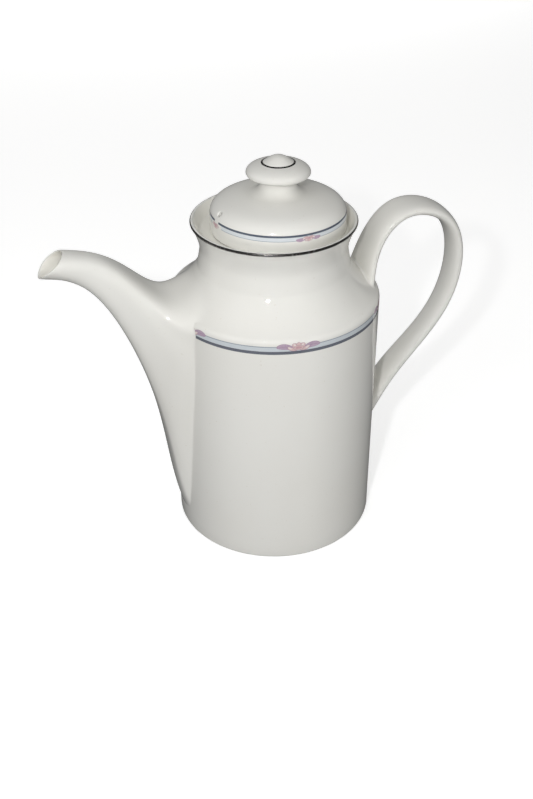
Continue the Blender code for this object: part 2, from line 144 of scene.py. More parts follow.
def spline_at(where, values, at):
    """Natural cubic spline, continued in a straight line beyond its ends."""
    where, values, at = np.array(where, float), np.array(values, float), np.array(at, float)
    count, step = len(where), np.diff(where)
    system, right = np.eye(count), np.zeros_like(values)
    for i in range(1, count - 1):
        system[i, i - 1:i + 2] = step[i - 1], 2 * (step[i - 1] + step[i]), step[i]
        right[i] = 6 * ((values[i + 1] - values[i]) / step[i] - (values[i] - values[i - 1]) / step[i - 1])
    bend = np.linalg.solve(system, right)
    inside = np.clip(at, where[0], where[-1])
    cell = np.clip(np.searchsorted(where, inside) - 1, 0, count - 2)
    width = step[cell][:, None]
    after = (inside - where[cell])[:, None]
    before = width - after
    found = (
        (bend[cell] * before ** 3 + bend[cell + 1] * after ** 3) / (6 * width)
        + (values[cell] / width - bend[cell] * width / 6) * before
        + (values[cell + 1] / width - bend[cell + 1] * width / 6) * after
    )
    first_slope = (values[1] - values[0]) / step[0] - bend[1] * step[0] / 6
    last_slope = (values[-1] - values[-2]) / step[-1] + bend[-2] * step[-1] / 6
    found += np.minimum(at - where[0], 0)[:, None] * first_slope
    found += np.maximum(at - where[-1], 0)[:, None] * last_slope
    return found


def smoothstep(low, high, value):
    t = np.clip((value - low) / (high - low), 0, 1)
    return t * t * (3 - 2 * t)


# ----- Meshes

def linked(name, data):
    """A new object of the data, in the scene."""
    made = bpy.data.objects.new(name, data)
    bpy.context.scene.collection.objects.link(made)
    return made


def make_object(name, points, faces, materials):
    """One smooth piece from points in millimetres, its faces turned outwards."""
    mesh = bpy.data.meshes.new(name)
    mesh.from_pydata([tuple(p) for p in np.asarray(points, float) * MM], [], [tuple(f) for f in faces])
    builder = bmesh.new()
    builder.from_mesh(mesh)
    bmesh.ops.remove_doubles(builder, verts=builder.verts[:], dist=1e-7)
    bmesh.ops.recalc_face_normals(builder, faces=builder.faces[:])
    builder.to_mesh(mesh)
    builder.free()
    for material in materials:
        mesh.materials.append(material)
    mesh.shade_smooth()
    mesh.set_sharp_from_angle(angle=math.radians(CREASE_DEG))
    return linked(name, mesh)


def grid_faces(rows, columns, wrap_rows=False, wrap_columns=True):
    """Quads of a grid of points, numbered row by row."""
    faces = []
    for i in range(rows if wrap_rows else rows - 1):
        for k in range(columns if wrap_columns else columns - 1):
            here, below, after = i * columns, (i + 1) % rows * columns, (k + 1) % columns
            faces.append((here + k, here + after, below + after, below + k))
    return faces


def turned_points(outline, axis_x, turns):
    """Points of the outline turned about a vertical axis, one row for each outline point."""
    radius, height = outline[:, 0][:, None], outline[:, 1][:, None]
    return np.stack([axis_x + radius * np.cos(turns), radius * np.sin(turns), height + 0 * turns], axis=-1)


def turned(name, outline, axis_x, materials, steps=STEPS):
    """A solid of revolution. A closed outline runs round its section; others start and end on the axis."""
    outline = np.array(outline, float)
    turns = np.arange(steps) * 2 * math.pi / steps
    points = turned_points(outline, axis_x, turns)
    on_axis = outline[:, 0] < 1e-6
    faces = []
    rows = len(outline)
    for i in range(rows):
        below = (i + 1) % rows
        if on_axis[i] and on_axis[below]:
            continue
        for k in range(steps):
            after = (k + 1) % steps
            corners = [(i, k), (i, after), (below, after), (below, k)]
            corners = [(row, 0 if on_axis[row] else column) for row, column in corners]
            numbers = list(dict.fromkeys(row * steps + column for row, column in corners))
            faces.append(numbers)
    used = sorted({n for face in faces for n in face})
    place = {n: index for index, n in enumerate(used)}
    faces = [[place[n] for n in face] for face in faces]
    return make_object(name, points.reshape(-1, 3)[used], faces, materials)


def cut_away(target, cutter):
    """Takes the cutter out of the target's mesh, and then removes the cutter."""
    modifier = target.modifiers.new("cut", "BOOLEAN")
    modifier.operation = "DIFFERENCE"
    modifier.solver = "EXACT"
    modifier.object = cutter
    graph = bpy.context.evaluated_depsgraph_get()
    cut_mesh = bpy.data.meshes.new_from_object(target.evaluated_get(graph))
    target.modifiers.clear()
    old = target.data
    target.data = cut_mesh
    bpy.data.meshes.remove(old)
    bpy.data.objects.remove(cutter)
    target.data.shade_smooth()
    target.data.set_sharp_from_angle(angle=math.radians(CREASE_DEG))


class TurnedSurface:
    """The outside of a turned piece: nearest points on it, and points along it."""

    def __init__(self, outline, axis_x):
        self.line = resampled(np.array(outline, float), SURFACE_STEP)
        self.axis_x = axis_x
        along = tangents(self.line)
        self.out = np.stack([along[:, 1], -along[:, 0]], axis=1)
        self.run = lengths(self.line)

    def flat(self, points):
        across = np.hypot(points[:, 0] - self.axis_x, points[:, 1])
        return np.stack([across, points[:, 2]], axis=1)

    def nearest(self, points):
        """(signed distance, nearest surface point, outward normal) of each point."""
        flat = self.flat(points)
        gaps = np.linalg.norm(flat[:, None, :] - self.line[None], axis=2)
        index = gaps.argmin(axis=1)
        base, out = self.line[index], self.out[index]
        along = np.stack([-out[:, 1], out[:, 0]], axis=1)
        slide = np.clip(((flat - base) * along).sum(1), -SURFACE_STEP, SURFACE_STEP)
        base = base + slide[:, None] * along
        distance = ((flat - base) * out).sum(1)
        turn = np.arctan2(points[:, 1], points[:, 0] - self.axis_x)
        cosine, sine = np.cos(turn), np.sin(turn)
        place = np.stack([self.axis_x + base[:, 0] * cosine, base[:, 0] * sine, base[:, 1]], axis=1)
        normal = np.stack([out[:, 0] * cosine, out[:, 0] * sine, out[:, 1]], axis=1)
        return distance, place, normal

    def run_at_height(self, height):
        return float(np.interp(height, self.line[:, 1], self.run))

    def place(self, turn, run, lift):
        """Points on the surface at a turn about the axis and a run along the outline, lifted off it."""
        radius, height = (np.interp(run, self.run, self.line[:, k]) for k in (0, 1))
        out_r, out_z = (np.interp(run, self.run, self.out[:, k]) for k in (0, 1))
        radius, height = radius + lift * out_r, height + lift * out_z
        return np.stack([self.axis_x + radius * np.cos(turn), radius * np.sin(turn), height], axis=-1)


def unit(vectors):
    return vectors / np.maximum(np.linalg.norm(vectors, axis=-1, keepdims=True), 1e-12)


def points_along(curve, where):
    """The curve's x, y and z at a row number, or at several. Row numbers have fractions."""
    index = np.arange(len(curve))
    return np.array([np.interp(where, index, curve[:, axis]) for axis in range(3)])


def rooted(curves, surface, reach):
    """Arms that grow out of a turned surface, one for each column of `curves` (rows x columns x 3).

    Row 0 is inside or under the surface. Each arm is trimmed a little beyond where it leaves the
    surface, and a fillet carries it on until it lies flat on the surface. reach(points) gives the
    length of the fillet's two legs. Returns the fillet's rows, from the surface outwards, and for
    each column the row number, with its fraction, where the arm goes on.
    """
    rows, columns = curves.shape[:2]
    distance = surface.nearest(curves.reshape(-1, 3))[0].reshape(rows, columns)
    starts, fillets = np.zeros(columns), np.zeros((FILLET_ROWS, columns, 3))
    index = np.arange(rows)
    leave = np.zeros(columns)
    for k in range(columns):
        inside = np.nonzero(distance[:, k] < 0)[0]
        last = inside[-1] if len(inside) else 0
        here, there = distance[last, k], distance[min(last + 1, rows - 1), k]
        leave[k] = last + np.clip(-here / max(there - here, 1e-9), 0, 1)
    meeting = np.array([points_along(curves[:, k], leave[k]) for k in range(columns)])
    _, foot, normal = surface.nearest(meeting)
    legs = reach(meeting)
    around = np.roll(foot, -1, axis=0) - np.roll(foot, 1, axis=0)
    outwards = unit(np.cross(around, normal))
    middle = foot.mean(axis=0)
    if ((foot - middle) * outwards).sum() < 0:
        outwards = -outwards
    landing = surface.nearest(foot + outwards * legs[:, None])[1]
    _, landing, landing_normal = surface.nearest(landing)
    landing = landing - landing_normal * FILLET_SINK
    for k in range(columns):
        arm = curves[:, k]
        run = lengths(arm)
        begun = np.interp(leave[k], index, run) + legs[k]
        starts[k] = np.interp(begun, run, index)
        join = points_along(arm, starts[k])
        way = unit(points_along(arm, starts[k] + 0.5) - points_along(arm, max(starts[k] - 0.5, 0)))
        inwards = -outwards[k] - landing_normal[k] * (-outwards[k] @ landing_normal[k])
        span = np.linalg.norm(join - landing[k])
        leaving = landing[k] + unit(inwards) * span * FILLET_PULL
        arriving = join - way * span * FILLET_PULL
        fillets[:, k] = bezier([landing[k], leaving, arriving, join], FILLET_ROWS)
    return fillets, starts


def carried_on(curves, starts, ends, rows):
    """The arms between two row numbers, as evenly spaced rows."""
    shares = np.linspace(0, 1, rows)
    arms = []
    for k in range(curves.shape[1]):
        arms.append(points_along(curves[:, k], starts[k] + (ends[k] - starts[k]) * shares).T)
    return np.stack(arms, axis=1)


def superellipse_at(turn, squareness):
    """Unit superellipse at the given angles: arrays (across, up)."""
    size = (np.abs(np.cos(turn)) ** squareness + np.abs(np.sin(turn)) ** squareness) ** (-1 / squareness)
    return size * np.cos(turn), size * np.sin(turn)


def superellipse(sides, squareness):
    """The same at even angles all round."""
    return superellipse_at(np.arange(sides) * 2 * math.pi / sides, squareness)


# ----- Materials

class Nodes:
    """A short way to write a node tree."""

    def __init__(self, name):
        self.material = bpy.data.materials.new(name)
        self.material.use_nodes = True
        self.tree = self.material.node_tree
        self.shader = self.tree.nodes["Principled BSDF"]
        self.place = self.tree.nodes.new("ShaderNodeTexCoord").outputs["Object"]

    def put(self, socket, value):
        if isinstance(value, bpy.types.NodeSocket):
            self.tree.links.new(value, socket)
        else:
            socket.default_value = value

    def noise(self, scale, detail=2.0, stretch=None):
        node = self.tree.nodes.new("ShaderNodeTexNoise")
        node.inputs["Scale"].default_value = scale
        node.inputs["Detail"].default_value = detail
        where = self.place
        if stretch:
            mapping = self.tree.nodes.new("ShaderNodeMapping")
            mapping.inputs["Scale"].default_value = stretch
            self.put(mapping.inputs["Vector"], where)
            where = mapping.outputs["Vector"]
        self.put(node.inputs["Vector"], where)
        return node.outputs["Fac"]

    def ramp(self, factor, stops):
        node = self.tree.nodes.new("ShaderNodeValToRGB")
        node.color_ramp.interpolation = "LINEAR"
        elements = node.color_ramp.elements
        while len(elements) > 1:
            elements.remove(elements[-1])
        elements[0].position, elements[0].color = stops[0][0], (*stops[0][1], 1.0)
        for position, colour in stops[1:]:
            elements.new(position).color = (*colour, 1.0)
        self.put(node.inputs["Fac"], factor)
        return node.outputs["Color"]

    def between(self, value, low, high, low_out, high_out):
        node = self.tree.nodes.new("ShaderNodeMapRange")
        limits = {"From Min": low, "From Max": high, "To Min": low_out, "To Max": high_out}
        for name, number in limits.items():
            node.inputs[name].default_value = number
        self.put(node.inputs["Value"], value)
        return node.outputs["Result"]

    def mixed(self, factor, first, second, blend="MIX"):
        node = self.tree.nodes.new("ShaderNodeMix")
        node.data_type = "RGBA"
        node.blend_type = blend
        self.put(node.inputs["Factor"], factor)
        for socket, value in (("A", first), ("B", second)):
            target = [s for s in node.inputs if s.name == socket and s.type == "RGBA"][0]
            self.put(target, (*value, 1.0) if isinstance(value, tuple) else value)
        return [s for s in node.outputs if s.type == "RGBA"][0]

    def bump(self, value, strength, distance, under=None):
        node = self.tree.nodes.new("ShaderNodeBump")
        node.inputs["Strength"].default_value = strength
        node.inputs["Distance"].default_value = distance
        self.put(node.inputs["Height"], value)
        if under is not None:
            self.put(node.inputs["Normal"], under)
        return node.outputs["Normal"]

    def finish(self, **inputs):
        for name, value in inputs.items():
            self.put(self.shader.inputs[name.replace("_", " ")], value)
        return self.material


def glaze(nodes):
    """The waviness and the faint pinholes of a fired glaze, as a normal."""
    wave = nodes.bump(nodes.noise(55.0, 1.0), 0.10, 0.0006)
    return nodes.bump(nodes.noise(420.0, 2.0), 0.05, 0.00006, under=wave)


def china_material(name, light, warm):
    nodes = Nodes(name)
    clouds = nodes.ramp(nodes.noise(16.0, 3.0), [(0.35, light), (0.68, warm)])
    clean, speck = (1.0, 1.0, 1.0), (0.90, 0.88, 0.84)
    specks = nodes.ramp(nodes.noise(900.0, 1.0), [(0.0, clean), (0.74, clean), (0.80, speck)])
    return nodes.finish(
        Base_Color=nodes.mixed(1.0, clouds, specks, "MULTIPLY"),
        Roughness=nodes.between(nodes.noise(70.0, 3.0), 0.3, 0.7, 0.05, 0.10),
        IOR=1.5,
        Normal=glaze(nodes),
    )


def biscuit_material():
    """The ground, unglazed foot ring."""
    nodes = Nodes("unglazed_china")
    grain = nodes.noise(1500.0, 4.0)
    return nodes.finish(
        Base_Color=nodes.ramp(grain, [(0.3, (0.62, 0.59, 0.52)), (0.7, (0.74, 0.72, 0.66))]),
        Roughness=nodes.between(grain, 0.3, 0.7, 0.65, 0.85),
        Normal=nodes.bump(grain, 0.5, 0.0001),
    )


def platinum_material():
    nodes = Nodes("platinum")
    brushed = nodes.noise(600.0, 3.0, stretch=(1.0, 1.0, 0.15))
    return nodes.finish(
        Base_Color=nodes.ramp(brushed, [(0.3, (0.218, 0.210, 0.207)), (0.7, (0.232, 0.224, 0.219))]),
        Metallic=1.0,
        Roughness=nodes.between(brushed, 0.3, 0.7, 0.264, 0.276),
        Normal=nodes.bump(nodes.noise(240.0, 2.0), 0.01, 0.00008),
    )


ALONG_BAND = (6.0, 6.0, 240.0)
EVEN = (60.0, 60.0, 60.0)


def print_material(name, colour, deep, stretch, grain):
    """Ink under the glaze: a printed tone broken up by fine lines and by the dots of its screen."""
    nodes = Nodes(name)
    lines = nodes.noise(26.0, 4.0, stretch=stretch)
    dots = nodes.noise(2200.0, 2.0)
    tone = nodes.ramp(lines, [(0.36, deep), (0.62, colour)])
    screened = nodes.mixed(nodes.between(dots, 0.35, 0.65, 0.0, grain), tone, deep)
    return nodes.finish(
        Base_Color=screened,
        Roughness=nodes.between(nodes.noise(70.0, 3.0), 0.3, 0.7, 0.06, 0.11),
        IOR=1.5,
        Normal=glaze(nodes),
    )


# Material name, colour, colour of the lines and dots in it, stretch of the lines, strength of the dots.
INK_TONES = {
    "dark": ("print_slate", (0.165, 0.175, 0.205), (0.120, 0.130, 0.160), ALONG_BAND, 0.3),
    "pale": ("print_pale_blue", (0.630, 0.668, 0.695), (0.555, 0.597, 0.632), ALONG_BAND, 0.35),
    "thin": ("print_grey_line", (0.340, 0.385, 0.440), (0.270, 0.310, 0.370), ALONG_BAND, 0.3),
    "leaf": ("print_mauve_leaf", (0.500, 0.395, 0.485), (0.420, 0.315, 0.420), EVEN, 0.4),
    "vein": ("print_mauve_outline", (0.400, 0.275, 0.360), (0.320, 0.215, 0.300), EVEN, 0.3),
    "petal": ("print_pink_petal", (0.700, 0.530, 0.510), (0.620, 0.440, 0.440), EVEN, 0.45),
    "blush": ("print_rose_blush", (0.610, 0.400, 0.410), (0.520, 0.310, 0.350), EVEN, 0.45),
    "tip": ("print_white_tip", (0.770, 0.720, 0.700), (0.720, 0.630, 0.620), EVEN, 0.3),
    "ice": ("print_ice_blue", (0.710, 0.742, 0.768), (0.640, 0.680, 0.715), ALONG_BAND, 0.35),
    "deep": ("print_dark_line", (0.120, 0.140, 0.175), (0.085, 0.100, 0.135), ALONG_BAND, 0.3),
}

CHINA = china_material("china_glaze", (0.800, 0.794, 0.756), (0.782, 0.772, 0.728))
CHINA_INSIDE = china_material("china_glaze_inside", (0.865, 0.852, 0.79), (0.845, 0.828, 0.76))
BISCUIT = biscuit_material()
PLATINUM = platinum_material()
INK_ORDER = list(INK_TONES)
INKS = [print_material(*tones) for tones in INK_TONES.values()]


# ----- Pot body

WALL_TOP = 129.65
CORNER_RADIUS = 3.06
SHOULDER = [(51.1, 132.2), (45.5, 135.8), (40.7, 141.1), (37.7, 147.1)]
NECK = [(37.7, 147.1), (36.95, 150.1), (36.15, 154.1), (36.15, 155.8)]
FLARE = [(36.15, 155.8), (36.15, 159.5), (38.35, 165.8), (40.15, 168.5)]
LIP_WALL = 1.8
CHINA_WALL = 2.8
FOOT_RING_INNER = 46.0
GROUND_TOP = 0.25  # the foot ring is ground bare up to here
FLOOR_INSIDE = 4.0  # the inside's colour lies between these heights
LIP_INSIDE = 168.2
INSIDE_DEPTH = 1.0  # and at least this far under the outside

# The oval opening behind the spout.
PIERCING_HALF_WIDTH = 11.0
PIERCING_HALF_HEIGHT = 19.0
PIERCING_HEIGHT = 96.0
PIERCING_REACH = 16.0
PIERCING_SIDES = 64

# The platinum line covers this part of the way over the lip, from its outer side.
RIM_LINE_FROM = 0.13
RIM_LINE_TO = 0.62
RIM_LINE_STEP = 0.12
RIM_LINE_LIFT = 0.10
RIM_LINE_SINK = 0.12
RIM_LINE_SWELL = 0.35  # the lower this power, the steeper the line's edges


def inset(points):
    """CAD outline points moved in towards the axis by the room left for the prints."""
    return [(x - PRINT_ROOM, z) for x, z in points]


def body_outside():
    """From the foot's outer edge up to the lip."""
    foot = rounded([(48.0, 0.0), (WALL_RADIUS, 0.0, 1.1), (WALL_RADIUS, 8.0)], 7)[1:]
    wall = np.stack([np.full(16, WALL_RADIUS), np.linspace(8.0, WALL_TOP, 16)], axis=1)
    corner = arc((WALL_RADIUS - CORNER_RADIUS, WALL_TOP), CORNER_RADIUS, 0, 57, 12)
    curves = [bezier(inset(c), n)[1:] for c, n in ((SHOULDER, 24), (NECK, 10), (FLARE, 16))]
    return np.vstack([foot[:-1], wall[:-1], corner[:-1], corner[-1:], *curves])


def lip_round(outside, wall):
    """The lip's rounded edge, from its outer side over to its inner side."""
    along = tangents(outside)[-1]
    inner = outside[-1] + wall * np.array([-along[1], along[0]])
    centre = (outside[-1] + inner) / 2
    start = math.degrees(math.atan2(*(outside[-1] - centre)[::-1]))
    return arc(centre, wall / 2, start, start + 180, 11)


OUTSIDE = body_outside()
LIP = lip_round(OUTSIDE, LIP_WALL)


def body_outline():
    inner_shoulder = offset(bezier(inset(SHOULDER), 24), -CHINA_WALL)
    inner_shoulder = inner_shoulder[inner_shoulder[:, 0] > 34.0][::-1]
    inner_wall = WALL_RADIUS - CHINA_WALL
    mouth = rounded([
        tuple(LIP[-1]), (35.6, 164.7, 1.2), (29.8, 164.7, 0.6), (29.8, 162.1, 0.6),
        (33.4, 157.5, 2.0), (33.4, 149.5, 2.5), tuple(inner_shoulder[0]),
    ])
    inside = rounded([
        tuple(inner_shoulder[-1]), (inner_wall, 127.5, 2.0), (inner_wall, 5.2, 9.0), (0.0, 5.2),
    ], 10)
    recess = rounded([(0.0, 2.0), (44.7, 2.0, 1.6), (46.6, 0.0, 0.5), (48.0, 0.0)])
    return np.vstack([recess, OUTSIDE, LIP[1:-1], mouth, inner_shoulder[1:-1], inside])


def capped_tube(rings):
    """Points and faces of a tube closed by a flat face at each end."""
    count, sides = rings.shape[:2]
    ends = [tuple(range(sides)), tuple(range(count * sides - 1, (count - 1) * sides - 1, -1))]
    return rings.reshape(-1, 3), grid_faces(count, sides) + ends


def build_body():
    body = turned("pot_body_china", body_outline(), POT_X, [CHINA, CHINA_INSIDE, BISCUIT])
    around = np.arange(PIERCING_SIDES) * 2 * math.pi / PIERCING_SIDES
    across = PIERCING_HALF_WIDTH * np.cos(around)
    height = PIERCING_HEIGHT + PIERCING_HALF_HEIGHT * np.sin(around)
    rings = [
        np.stack([np.full(PIERCING_SIDES, POT_X - WALL_RADIUS + along), across, height], axis=1)
        for along in (-PIERCING_REACH, PIERCING_REACH)
    ]
    cut_away(body, make_object("piercing", *capped_tube(np.array(rings)), [CHINA_INSIDE]))
    for face in body.data.polygons:
        middle = face.center / MM
        away = math.hypot(middle.x - POT_X, middle.y)
        outside = np.interp(middle.z, OUTSIDE[:, 1], OUTSIDE[:, 0])
        if middle.z < GROUND_TOP and away > FOOT_RING_INNER:
            face.material_index = 2
        elif FLOOR_INSIDE < middle.z < LIP_INSIDE and away < outside - INSIDE_DEPTH:
            face.material_index = 1
    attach(body, "pot")
    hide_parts("pot_body")


def build_rim_line():
    """Platinum laid over the outer part of the lip's edge."""
    dense = resampled(np.vstack([OUTSIDE[-2:-1], LIP]), RIM_LINE_STEP)
    run = lengths(dense)
    dense = dense[(run > run[-1] * RIM_LINE_FROM) & (run < run[-1] * RIM_LINE_TO)]
    share = np.linspace(0, 1, len(dense))
    swell = np.sin(np.pi * share)[:, None] ** RIM_LINE_SWELL
    top = dense + (offset(dense, RIM_LINE_LIFT) - dense) * swell
    outline = np.vstack([top, offset(dense, -RIM_LINE_SINK)[::-1]])
    line = turned("rim_line_platinum", outline, POT_X, [PLATINUM])
    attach(line, "pot")
    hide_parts("rim_line")


# ----- Spout and handle

# The spout's upper and lower lines, from the body out to the lip, as (x from the axis, height).
SPOUT_TOP = [
    (-40.0, 141.9), (-50.4, 137.6), (-60.3, 141.3), (-70.6, 150.7), (-84.2, 160.5), (-100.5, 165.0),
]
SPOUT_UNDER = [
    (-55.3, 13.2), (-59.6, 55.0), (-66.6, 91.2), (-78.4, 124.6), (-93.7, 147.0), (-113.4, 155.1),
]
# At fractions of its length.
SPOUT_HALF_WIDTH = [(0.0, 26.7), (0.2, 23.9), (0.5, 14.3), (0.8, 7.8), (1.0, 8.4)]
# Where the spout meets the body: (half width, height) from the middle of its foot up to the saddle.
SPOUT_SEAM = [
    (0.0, 10.6), (8.0, 11.0), (12.8, 13.6), (14.4, 19.0), (15.8, 27.8),
    (17.5, 41.0), (20.0, 62.0), (22.6, 84.5), (24.8, 107.2), (26.0, 121.2),
    (26.7, 128.4), (24.2, 133.4), (17.4, 138.0), (8.8, 140.9), (0.0, 141.7),
]
SPOUT_SIDES = 112
SPOUT_FINE_ROWS = 420
SPOUT_ROWS = 96
BORE_ROWS = 60
SPOUT_LIP_WALL = 1.0
SPOUT_ROOT_WALL = 2.6
ROOT_SQUARENESS = 3.0  # of the superellipse; the lip is a plain ellipse
ROOT_EGG = 0.36  # the root ring is this much wider above its middle than at it
ROOT_EGG_POWER = 1.2  # how soon that is gone along the spout
ROOT_BEND = 0.05  # share of the spout's length in which its root bends onto the seam
ROOT_SLIM_POWER = 1.6  # how soon the seam's widths give way to the spout's own
ROOT_SINK = 2.0  # the first ring lies this far inside the body's wall
BORE_SINK = 1.2  # the bore stops this far inside it
FILLET_LEG = 1.2
SADDLE_FROM = 127.0  # between these heights the fillet's legs grow by SADDLE_MORE
SADDLE_TO = 137.0
SADDLE_MORE = 3.6
BEAK = 1.3
BEAK_FROM = 0.88  # share of the spout's length where the beak begins
LIP_BACK = 0.5  # how far the lip's round edge reaches back
LIP_ROWS_BACK = LIP_BACK / 0.35  # the same in fine rows

# The strap's middle line, from the shoulder over the top and down, as (x from the axis, height).
HANDLE_LINE = [
    (44.7, 124.2), (47.0, 138.5), (50.8, 151.4), (64.4, 166.3), (84.6, 163.1),
    (92.6, 116.1), (63.1, 72.8), (53.3, 56.7), (46.2, 43.9),
]
HANDLE_HALF_WIDTH = [(0, 19.3), (0.12, 10.7), (0.38, 9.3), (0.68, 7.2), (1, 9.9)]
HANDLE_HALF_THICKNESS = [(0, 3.1), (0.68, 3.05), (1, 3.45)]
HANDLE_SIDES = 56
HANDLE_SQUARENESS = 2.3
HANDLE_FINE_ROWS = 700
HANDLE_ROWS = 190
HANDLE_UPPER_LEG = 1.6
HANDLE_LOWER_LEG = 1.8
HANDLE_END_SINK = 2.0  # the strap's flat ends lie this far inside the wall
HANDLE_END_SHRINK = 0.3  # and are this share smaller
EASING = 0.06  # half the length over which a table's corners are rounded off


def eased(table, at):
    """A short table of (fraction, size) with its corners rounded off."""
    where, sizes = zip(*table)
    near = np.linspace(-EASING, EASING, 15)
    return np.mean([np.interp(np.clip(at + step, 0, 1), where, sizes) for step in near], axis=0)


def half_ring(points):
    """Share of the way round half a ring, from its foot to its top, of points (across, height)."""
    run = lengths(points)
    return run / run[-1]


def seam_points(surface, slant, half_width):
    """The seam on the body for each of the spout's sides, as (x from the axis, across, height)."""
    across, up = superellipse(SPOUT_SIDES, ROOT_SQUARENESS)
    fine = np.radians(np.linspace(-90, 90, 400))
    fine_across, fine_up = superellipse_at(fine, ROOT_SQUARENESS)
    fine_ring = np.stack([half_width * fine_across * (1 + ROOT_EGG * fine_up), slant * fine_up], axis=1)
    share = np.interp(np.arctan2(up, np.abs(across)), fine, half_ring(fine_ring))
    knots = np.array(SPOUT_SEAM)
    seam = spline_at(half_ring(knots), knots, share)
    radius = np.interp(seam[:, 1], surface.line[:, 1], surface.line[:, 0])
    reach = np.sqrt(np.maximum(radius ** 2 - seam[:, 0] ** 2, 0))
    return np.stack([-reach, np.copysign(np.abs(seam[:, 0]), across), seam[:, 1]], axis=1)


def root_fit(surface):
    """What brings the spout's plain root ring onto the seam: a factor on its widths, and its shifts."""
    half = (np.array(SPOUT_TOP[0]) - np.array(SPOUT_UNDER[0])) / 2
    middle = (np.array(SPOUT_TOP[0]) + np.array(SPOUT_UNDER[0])) / 2
    seam = seam_points(surface, half[1], SPOUT_HALF_WIDTH[0][1])
    across, up = superellipse(SPOUT_SIDES, ROOT_SQUARENESS)
    width = SPOUT_HALF_WIDTH[0][1] * across * (1 + ROOT_EGG * up)
    narrowing = np.abs(seam[:, 1]) / np.maximum(np.abs(width), 1e-6)
    # At the top and bottom of the ring both widths are near nothing, so the sides next to them decide.
    narrow = np.abs(width) < 2.0
    for half_of_ring in (up > 0, up < 0):
        narrowing[narrow & half_of_ring] = narrowing[(~narrow) & half_of_ring][[0, -1]].mean()
    return narrowing, seam[:, 0] - (middle[0] + half[0] * up), seam[:, 2] - (middle[1] + half[1] * up)


def spout_curves(at, root_wall, lip_wall, surface):
    """The spout's rings, narrowed by a wall that thins towards the lip, its root bent onto the seam."""
    places = np.linspace(0, 1, len(SPOUT_TOP))
    top, under = spline_at(places, SPOUT_TOP, at), spline_at(places, SPOUT_UNDER, at)
    narrowing, shift_x, shift_z = root_fit(surface)
    rows = []
    for share, high, low, width in zip(at, top, under, eased(SPOUT_HALF_WIDTH, at)):
        wall = root_wall + (lip_wall - root_wall) * share
        across, up = superellipse(SPOUT_SIDES, ROOT_SQUARENESS - share ** 3)
        egg = ROOT_EGG * (1.0 - share) ** ROOT_EGG_POWER
        middle, half = (high + low) / 2, (high - low) / 2
        half = half * (1 - wall / np.linalg.norm(half))
        place = middle + half * up[:, None]
        near = math.exp(-share / ROOT_BEND)
        slim = 1 + (narrowing - 1) * (1 - share) ** ROOT_SLIM_POWER
        x = place[:, 0] + near * shift_x + POT_X
        sideways = (width * slim - wall) * across * (1 + egg * up)
        rows.append(np.stack([x, sideways, place[:, 1] + near * shift_z], axis=1))
    return np.array(rows)


def add_beak(rings, shares):
    """Turns the lower edge of the rings near the lip down into a small beak."""
    down = np.clip(-superellipse(SPOUT_SIDES, 2.0)[1], 0, 1)
    for ring, share in zip(rings, shares):
        ring[:, 2] -= BEAK * down ** 3 * smoothstep(BEAK_FROM, 1.0, share)


def build_spout(body_surface):
    at = np.linspace(0.0, 1.0, SPOUT_FINE_ROWS)
    outer = spout_curves(at, 0.0, 0.0, body_surface)
    # One more ring, inside the body's wall, so that each side crosses the surface at the seam.
    _, foot, normal = body_surface.nearest(outer[0])
    outer = np.vstack([[foot - normal * ROOT_SINK], outer])

    def reach(points):
        return FILLET_LEG + SADDLE_MORE * smoothstep(SADDLE_FROM, SADDLE_TO, points[:, 2])

    fillet, starts = rooted(outer, body_surface, reach)
    last = np.full(SPOUT_SIDES, len(outer) - 1.0)
    add_beak(outer[1:], at)
    rows = carried_on(outer, starts, last - LIP_ROWS_BACK, SPOUT_ROWS)
    bore_at = np.linspace(1.0, 0.0, BORE_ROWS)
    bore = spout_curves(bore_at, SPOUT_ROOT_WALL, SPOUT_LIP_WALL, body_surface)
    add_beak(bore, bore_at)
    # The lip is half round, from the last outer ring over to the first ring of the bore.
    edge_out, tip = rows[-1], outer[-1]
    way = unit(tip - edge_out)
    bore[0] -= way * LIP_BACK
    lip = []
    for angle in np.linspace(0, math.pi, 9)[1:-1]:
        share = (1 - math.cos(angle)) / 2
        lip.append(edge_out * (1 - share) + bore[0] * share + way * LIP_BACK * math.sin(angle))
    distance, place, normal = body_surface.nearest(bore.reshape(-1, 3))
    buried = distance < -BORE_SINK
    flat_bore = bore.reshape(-1, 3).copy()
    flat_bore[buried] = (place - normal * BORE_SINK)[buried]
    grid = np.vstack([fillet, rows[1:], np.array(lip), flat_bore.reshape(bore.shape)])
    faces = grid_faces(len(grid), SPOUT_SIDES, wrap_rows=True)
    spout = make_object("spout_china", grid.reshape(-1, 3), faces, [CHINA, CHINA_INSIDE])
    outside_faces = (len(grid) - len(bore)) * SPOUT_SIDES
    for face in spout.data.polygons:
        face.material_index = int(face.index >= outside_faces)
    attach(spout, "pot")
    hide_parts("spout")


def handle_curves(count):
    knots = np.array(HANDLE_LINE)
    chord = lengths(knots)
    at = np.linspace(0, 1, count)
    line = spline_at(chord / chord[-1], knots, at)
    along = tangents(line)
    widths, thicknesses = eased(HANDLE_HALF_WIDTH, at), eased(HANDLE_HALF_THICKNESS, at)
    across, up = superellipse(HANDLE_SIDES, HANDLE_SQUARENESS)
    rows = []
    for centre, way, width, thickness in zip(line, along, widths, thicknesses):
        x = centre[0] - way[1] * thickness * up + POT_X
        z = centre[1] + way[0] * thickness * up
        rows.append(np.stack([x, width * across, z], axis=1))
    return np.array(rows)


def flat_end(ring):
    """A smaller copy of the ring, inside the body's wall."""
    return ring + (ring.mean(axis=0) - ring) * HANDLE_END_SHRINK - np.array([HANDLE_END_SINK, 0, 0])


